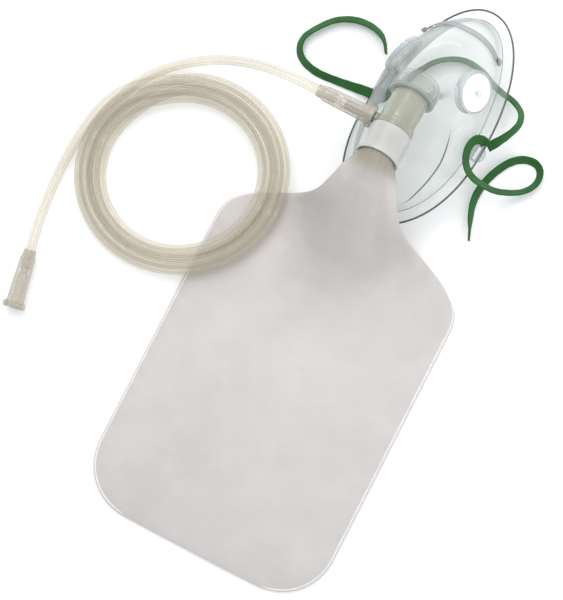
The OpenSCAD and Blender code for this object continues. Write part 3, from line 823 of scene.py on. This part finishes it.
def strap_ear(name, x):
    """A round lug on the flange with a slot for the strap."""
    up = placed((x, SLOT_Y, 1)) - placed((x, SLOT_Y, 0))
    ear = turned(f"strap_ear_{name}", placed((x, SLOT_Y, -0.9)), up,
                 rounded([(-0.25, 0.0), (-0.25, 5.5), (1.35, 5.5), (1.35, 0.0)], 0.4, 3),
                 EAR, 64, closed=False)
    corners = ((-1, -1), (1, -1), (1, 1), (-1, 1))
    slot = mesh("slot", [placed((x + i * 1.3, SLOT_Y + j * 4.1, k)) for k in (-6, 6) for i, j in corners],
                [(0, 3, 2, 1), (4, 5, 6, 7), (0, 1, 5, 4), (1, 2, 6, 5), (2, 3, 7, 6), (3, 0, 4, 7)],
                EAR, False)
    cut(ear, slot)
    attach(ear, "mask")


def port_collar():
    """The ring at the port's mouth, and the clear skirt that lines the port behind it."""
    inside = TUBE_R + 0.05
    ring = turned("port_ring", PORT_AT, PORT_DIR,
                  rounded([(-0.6, inside), (-0.6, 13), (0.0, 13), (0.05, 14.5), (1.0, 14.4), (1.35, 13.4),
                           (1.2, inside)], 0.3, 3, True), RING)
    skirt = turned("port_ring_skirt", PORT_AT, PORT_DIR,
                   rounded([(-11, inside), (-11, 13), (-0.7, 13), (-0.7, inside)], 0.3, 2, True), VINYL)
    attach(skirt, "mask")
    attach(ring, "mask")
    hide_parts("port_collar")


def clip_spine(steps):
    """Points of the shell under the clip with their normals, smoothed between its two ends."""
    spine = []
    for i in range(steps + 1):
        a = CLIP_AT[0] + i * (CLIP_AT[-1] - CLIP_AT[0]) / steps
        near = (-6, -3, 0, 3, 6) if 0 < i < steps else (0,)
        t = sum(np.interp(a + d, CLIP_AT, CLIP_HEIGHTS) for d in near) / len(near)
        spine.append((wall(a, t), wall_normal(a, t)))
    return spine


def nose_clip():
    """A flat strip bent over the nose, with a stud through each end."""
    steps = 44
    spine = clip_spine(steps)
    tangent = [unit(spine[min(i + 1, steps)][0] - spine[max(i - 1, 0)][0]) for i in range(steps + 1)]
    line = [(p + n * (CLIP_GAP + CLIP_T / 2), n, t, 1.0) for (p, n), t in zip(spine, tangent)]
    first, last = line[0], line[-1]
    for d in (0.5, 1.2, 1.8, 2.3, 2.7, 2.95, 3.0):
        w = math.sqrt(max(0.02, 1 - ((d - 0.5) / 2.6) ** 2))
        # line[steps] moves one point back at each turn, so the left end is square, not round
        line.append((line[steps][0] + last[2] * d, last[1], last[2], w))
        line.insert(0, (first[0] - first[2] * d, first[1], first[2], w))
    section = [(1, 0.3), (0.9, 0.85), (0.55, 1), (-0.55, 1), (-0.9, 0.85), (-1, 0.3)]
    section += [(x, -z) for x, z in section[::-1]]
    rings = [[p + np.cross(t, n) * x * CLIP_W / 2 * w + n * z * CLIP_T / 2 for x, z in section]
             for p, n, t, w in line]
    strip = face_out(skin("nose_strip", rings, STRIP, caps=True))
    for p, n in (spine[0], spine[-1]):
        cut(strip, peg(p, n, 1.3, 2, 4, STRIP))
    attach(strip, "mask")
    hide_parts("nose_clip")
    for name, (p, n) in (("right", spine[0]), ("left", spine[-1])):
        head = turned(f"nose_stud_{name}", p + n * 0.3, n,
                      rounded([(0, 0), (0, 1.2), (1.4, 1.2), (1.42, 2.1), (1.9, 2.05), (2.45, 1.4), (2.5, 0)],
                              0.2, 2), STUD, 40, closed=False)
        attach(head, "mask")
        if name == "right":
            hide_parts("nose_clip_studs")


def exhalation_valve(side, angle):
    """The disc with its dome, rim and centre, and a guard ring round it; the seat stays as designed."""
    at, n = wall(angle, VALVE_HEIGHT), wall_normal(angle, VALVE_HEIGHT)
    disc = turned(f"{side}_flap", at, n,
                  rounded([(0.35, 1.06), (0.35, 11.4), (1.0, 11.4), (1.15, 10.9), (1.12, 9.8), (1.0, 6),
                           (1.05, 3.6), (1.15, 2.6), (1.15, 1.06)], 0.2, 3, True), DISC)
    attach(disc, f"{side}_valve")
    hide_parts(f"{side}_valve_disc")
    guard = turned(f"{side}_guard_ring", at, n,
                   rounded([(-4.2, 11.9), (-4.2, 13.3), (0.75, 12.8), (0.95, 12.3), (0.7, 11.75)],
                           0.25, 3, True), SEAT)
    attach(guard, "mask")


# ---------------------------------------------------------------- valve housing, bag collar
def housing():
    """The swivel tube, clear inside the mask and olive grey outside it, and its oxygen nipple."""
    inner = turned("swivel_tube_end", PORT_AT, PORT_DIR,
                   rounded([(-10, BORE_R), (-10, TUBE_R), (-0.8, TUBE_R), (-0.8, BORE_R)], 0.4, 2, True),
                   VINYL)
    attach(inner, "reservoir")
    profile = rounded([(-0.7, BORE_R), (-0.7, TUBE_R), (2.0, TUBE_R), (2.2, 11.2), (2.7, 11.2), (2.9, TUBE_R),
                       (3.9, TUBE_R), (4.1, 11.15), (4.5, 11.15), (4.7, TUBE_R),
                       (BAND_AT - 0.9, TUBE_R), (BAND_AT, BAND_R - 0.05), (BAND_END - 0.3, BAND_R),
                       (BAND_END, SPIGOT_R), (SPIGOT_END, SPIGOT_R - 0.3), (SPIGOT_END, BORE_R)],
                      0.4, 3, True)
    body = turned("swivel_tube", PORT_AT, PORT_DIR, profile, HOUSING)
    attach(body, "reservoir")
    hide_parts("valve_housing")
    nipple = turned("oxygen_nipple", PORT_AT + PORT_DIR * NIPPLE_AT, vec(-1, 0, 0),
                    rounded([(10.2, 1.6), (10.2, 3.8), (12.7, 3.8), (13.0, 3.5), (13.05, NIPPLE_R),
                             (NIPPLE_END - 1.5, NIPPLE_R), (NIPPLE_END, 2.3), (NIPPLE_END, 1.6)],
                            0.25, 3, True), HOUSING, 64)
    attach(nipple, "reservoir")


def bag_collar():
    """The white sleeve, with a lip at the bag's end."""
    end = COLLAR_END
    sleeve = turned("bag_sleeve", PORT_AT, PORT_DIR,
                    rounded([(27.1, 10.5), (27.1, 12.75), (28, COLLAR_R), (40, COLLAR_R),
                             (end - 1.6, COLLAR_R + 0.1), (end - 1.2, COLLAR_R + 0.45), (end, COLLAR_R + 0.3),
                             (end, 11.95), (31.2, 11.55), (31, 10.5)], 0.35, 3, True), SLEEVE)
    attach(sleeve, "reservoir")
    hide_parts("bag_collar")


# ---------------------------------------------------------------- bag
FILM_T = 0.8
BAG_HALF, BAG_BOTTOM, BAG_CORNER = 80 - FILM_T, -184, 34
BAG_FLAT = 1 + FILM_T
# Sections: y, half width, height of the hump over the table, its spread, front and back crowns
STATIONS = [(59, 17.5, 61.5, 70, 8.6, 7), (50, 22, 56.5, 60, 7.8, 5), (41, 28, 49, 46, 6, 3.5),
            (34, 45, 41, 38, 4.5, 2.5), (27, 62, 33.5, 34, 3.4, 2), (17, 75.5, 22.5, 31, 2.8, 1.5),
            (8, 79, 13.5, 30, 2.6, 1.2), (0, 79.2, 8, 30, 2.8, 1), (-12, 79.2, 3, 30, 2.5, 1),
            (-24, 79.2, 0.8, 30, 2.4, 1), (-38, 79.2, 0, 30, 2.4, 1), (-60, 79.2, 0, 30, 2.4, 1),
            (-95, 79.2, 0, 30, 2.4, 1), (-125, 79.2, 0, 30, 2.4, 1)]


def bag_half(y):
    """Half of the bag's width at y, round at its bottom corners."""
    if y > BAG_BOTTOM + BAG_CORNER:
        return BAG_HALF
    d = y - BAG_BOTTOM - BAG_CORNER
    return BAG_HALF - BAG_CORNER + math.sqrt(max(0, BAG_CORNER ** 2 - d * d))


def bag_stations():
    """The design's stations closer together and smoothed, then its bottom corners."""
    step, spread, reach = 0.75, 2.6, 9
    table = np.array(STATIONS)[::-1]
    ys = np.arange(-59, 66.1, step)
    soft = np.exp(-0.5 * (np.arange(-reach, reach + 1) * step / spread) ** 2)
    soft /= soft.sum()
    cols = []
    for c in range(1, 6):
        line = np.interp(ys, table[:, 0], table[:, c])
        # Past the neck the width and the hump go on at their slope, and the rest stays level
        slope = (line[-1] - line[-13]) / 12 if c < 3 else 0
        top = line[-1] + slope * np.arange(1, reach + 1)
        cols.append(np.convolve(np.concatenate([np.full(reach, line[0]), line, top]), soft, "valid"))
    dense = [(ys[i], *(col[i] for col in cols)) for i in range(len(ys) - 10, -1, -2)]
    dense += [(y, BAG_HALF, 0, 30, 2.4, 1) for y in range(-62, -150, -3)]
    for k in range(13):
        y = BAG_BOTTOM + BAG_CORNER * (1 - sind(k * 7))
        dense.append((y, bag_half(y), 0, 30, 2.4 * cosd(k * 6.6), cosd(k * 6.6)))
    return dense


def folds(x, y):
    """Height of the film's soft folds: gathers out of the neck, puckers at the edge, slow cockles."""
    neck = smooth((y + 62) / 110)
    spread = math.atan2(x, 92 - y)
    gather = neck * (0.85 * math.sin(spread * 19 + 0.7) + 0.5 * math.sin(spread * 33 + 2.1))
    gather *= min(1, abs(92 - y) / 55)
    slow = noise.noise(Vector((x * 0.021, y * 0.017, 1.3))) * 1.5
    slow += noise.noise(Vector((x * 0.05, y * 0.04, 4))) * 0.6
    edge = max(0.0, 1 - (BAG_HALF - abs(x)) / 12)
    pucker = 0.35 * edge * math.sin(y * 0.42 + noise.noise(Vector((0, y * 0.03, 7))) * 4)
    return gather + slow * 0.75 + pucker


def bag_layer(st, front, across):
    """One section of a film, from the right edge to the left."""
    y, half, height, spread, crown_f, crown_b = st
    line = []
    for k in range(across + 1):
        a = k * 180 / across
        x = half * cosd(a)
        hump = height * math.exp(-2 * (x / spread) ** 2)
        rise = smooth(sind(a) * 2.2)
        if front:
            depth = 0.55 if y < 30 else 0.8
            z = BAG_FLAT + hump + (crown_f + FILM_T) * sind(a) + folds(x, y) * rise * depth
            z = max(z, BAG_FLAT + hump * 0.98 + 0.25 * rise)
        else:
            back = (crown_b + FILM_T) * min(1, sind(a) * (1 if y > 55 else 3))
            z = max(0.0, BAG_FLAT + hump - back)
        line.append((x, y, z))
    return line


def neck_section(s, front, across):
    """The film inside the white sleeve, gathered in small pleats."""
    line = []
    for k in range(across + 1):
        a = (k if front else -k) * 180 / across
        r = SPIGOT_R + 0.55 + 0.22 * math.sin(math.radians(a) * 22)
        line.append(tuple(PORT_AT + PORT_DIR * s + vec(1, 0, 0) * cosd(a) * r + PORT_UP * sind(a) * r))
    return line


def bag():
    """Each film as one skin, from its pleats inside the sleeve to the bag's bottom edge."""
    across = 72
    for front in (True, False):
        rows = [neck_section(s, front, across) for s in (32, 36, 40, 45)]
        joined = [bag_layer(st, front, across) for st in bag_stations()]
        last, first = rows[-1], joined[0]
        for t in (0.3, 0.65):
            rows.append([tuple(vec(*p) * (1 - t) + vec(*q) * t) for p, q in zip(last, first)])
        rows += joined
        obj = skin("bag_front" if front else "bag_back", rows, FILM, around=False)
        subdivide(obj, 1)
        # Painted shade: the front film darkens under the sleeve's lip, and the back film underneath is
        # darkened evenly
        neck = obj.data.color_attributes.new("neck", "FLOAT_COLOR", "POINT")
        for v in obj.data.vertices:
            x, y = v.co.x / MM, v.co.y / MM
            k = 0.85 * smooth((y - 51) / 15 - 0.3 * (x / 14) ** 2) if front else 0.3
            neck.data[v.index].color = (k, k, k, 1)
        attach(obj, "reservoir")
        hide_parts("bag_front_film" if front else "bag_back_film")
    weld()


def weld():
    """The heat-sealed line all round, a low flat bead just inside the film's edge."""
    inset, top = 1.1, BAG_FLAT + 0.35
    line = [vec(half - inset, y, top + height * math.exp(-2 * (half / spread) ** 2))
            for y, half, height, spread, _, _ in bag_stations() if y > BAG_BOTTOM + BAG_CORNER + 1]
    for k in range(16):
        a = k * 90 / 15
        line.append(vec(BAG_HALF - BAG_CORNER + (BAG_CORNER - inset) * cosd(a),
                        BAG_BOTTOM + BAG_CORNER - (BAG_CORNER - inset) * sind(a), top))
    full = spaced([*line, *[p * vec(-1, 1, 1) for p in line[::-1]]], 2)
    rings = []
    for i, p in enumerate(full):
        t = unit(full[min(i + 1, len(full) - 1)] - full[max(i - 1, 0)])
        s = unit(np.cross(t, vec(0, 0, 1)))
        u = np.cross(s, t)
        rings.append([p + s * cosd(b) * 0.65 + u * sind(b) * 0.42 for b in range(0, 360, 36)])
    obj = face_out(skin("bag_weld", rings, WELD, caps=True))
    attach(obj, "reservoir")


def paint(node, material):
    """Gives its material to a CAD part that stays as it is."""
    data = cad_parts[node].data
    data.materials.clear()
    data.materials.append(material)


# ---------------------------------------------------------------- the whole object
camera()
near = connector("near_connector", NEAR_MOUTH, vec(-1, 0, 0), "tube_connector_near")
far = connector("far_connector", FAR_AT + FAR_DIR * FUNNEL_L, -FAR_DIR, "tube_connector_far")
tubing()
strap("strap_left", STRAP_LEFT, "strap_left_end", cut_end=True)
strap("strap_behind", STRAP_MID, "strap_behind_mask")
strap("strap_right", STRAP_RIGHT, "strap_right_end", cut_end=True)
studio()
mask_shell()
strap_ear("left", -SLOT_X)
strap_ear("right", SLOT_X)
port_collar()
nose_clip()
exhalation_valve("right", VALVE_ANGLE)
exhalation_valve("left", 180 - VALVE_ANGLE)
housing()
bag_collar()
bag()
for node_name in ("right_valve_seat", "left_valve_seat", "inlet_valve_seat"):
    paint(node_name, SEAT)
paint("inlet_valve_disc", INLET)
